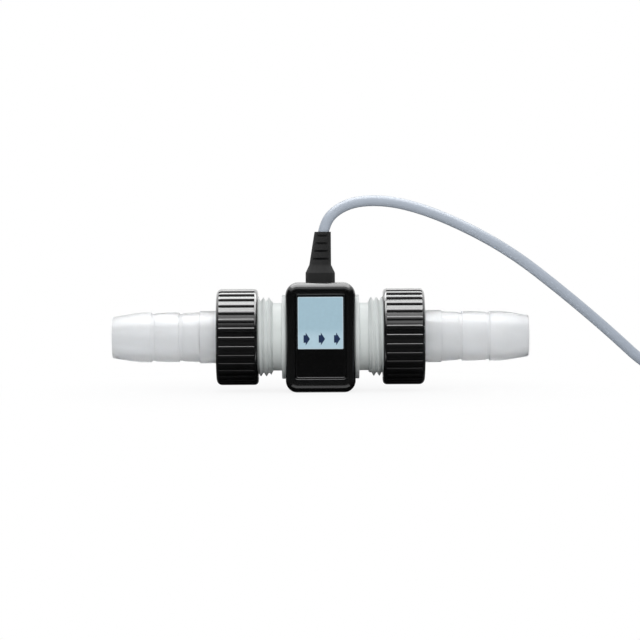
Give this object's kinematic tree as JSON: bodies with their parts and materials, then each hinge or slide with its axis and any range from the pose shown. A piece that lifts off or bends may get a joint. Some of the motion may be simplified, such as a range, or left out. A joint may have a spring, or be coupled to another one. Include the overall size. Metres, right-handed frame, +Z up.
{
  "type": "turbine flow meter",
  "caption": "Inline turbine flow meter with ribbed union nuts, hose barbs, a black pulse sensor housing and a grey signal cable.",
  "frame": {"origin": "on the flow axis, halfway along the meter", "axes": "+X along the flow, from inlet to outlet; +Y away from the labelled front; +Z up, towards the cable boot"},
  "size_m": [0.3003, 0.0743, 0.0824],
  "materials": {
    "tube_plastic": "white fluoroplastic, satin, faint mould bloom",
    "tail_plastic": "natural, milky and slightly translucent",
    "nut_plastic": "black glass-filled plastic, satin",
    "housing_plastic": "black, glossy with a fine moulded grain",
    "panel_plastic": "black, smooth and glossy",
    "label_film": "pale blue printed film",
    "boot_rubber": "black moulded rubber",
    "seal_rubber": "black rubber",
    "rotor_plastic": "white moulded plastic",
    "ceramic": "polished",
    "magnet_metal": "nickel plated",
    "spring_steel": "bright",
    "board_laminate": "green lacquered laminate",
    "chip_plastic": "black moulded",
    "cable_jacket": "light grey, satin",
    "core_insulation": "coloured insulation",
    "tie_plastic": "black nylon",
    "ferrule_metal": "tinned"
  },
  "bodies": {
    "meter_body": {"flow_tube": "tube_plastic", "inlet_face_seal": "seal_rubber", "outlet_face_seal": "seal_rubber", "inlet_bearing": "ceramic", "outlet_bearing": "ceramic", "inlet_spider": "rotor_plastic", "outlet_spider": "rotor_plastic", "inlet_retaining_ring": "spring_steel", "outlet_retaining_ring": "spring_steel", "front_housing": "housing_plastic", "rear_housing": "housing_plastic", "housing_screws": "spring_steel", "inlet_waist_seal": "seal_rubber", "outlet_waist_seal": "seal_rubber", "front_panel": "panel_plastic", "label_plate": "label_film", "circuit_board": "board_laminate", "hall_sensor": "chip_plastic", "board_parts": "chip_plastic", "board_wires": "core_insulation", "cable_boot": "boot_rubber", "cable": "cable_jacket", "cable_coil": "cable_jacket", "cable_ties": "tie_plastic", "cable_end": "cable_jacket", "lead_cores": "core_insulation", "core_ferrules": "ferrule_metal"},
    "turbine": {"rotor": "rotor_plastic", "rotor_magnets": "magnet_metal", "rotor_shaft": "ceramic"},
    "inlet_tail": {"inlet_hose_tail": "tail_plastic"},
    "inlet_nut": {"inlet_union_nut": "nut_plastic"},
    "outlet_tail": {"outlet_hose_tail": "tail_plastic"},
    "outlet_nut": {"outlet_union_nut": "nut_plastic"}
  },
  "joints": [
    {"name": "turbine_spin", "type": "hinge", "parent": "meter_body", "child": "turbine", "pos_m": [0, 0, 0], "axis": [1, 0, 0], "continuous": true},
    {"name": "inlet_tail_pull", "type": "slide", "parent": "meter_body", "child": "inlet_tail", "axis": [-1, 0, 0], "range_m": [0, 0.0104]},
    {"name": "inlet_nut_turn", "type": "hinge", "parent": "inlet_tail", "child": "inlet_nut", "pos_m": [-0.035, 0, 0], "axis": [-1, 0, 0], "range_deg": [0, 1620]},
    {"name": "outlet_tail_pull", "type": "slide", "parent": "meter_body", "child": "outlet_tail", "axis": [1, 0, 0], "range_m": [0, 0.0104]},
    {"name": "outlet_nut_turn", "type": "hinge", "parent": "outlet_tail", "child": "outlet_nut", "pos_m": [0.035, 0, 0], "axis": [1, 0, 0], "range_deg": [0, 1620]}
  ],
  "couplings": [
    {"joint": "inlet_tail_pull", "follows": "inlet_nut_turn", "m_per_rad": 0.00036749},
    {"joint": "outlet_tail_pull", "follows": "outlet_nut_turn", "m_per_rad": 0.00036749}
  ]
}
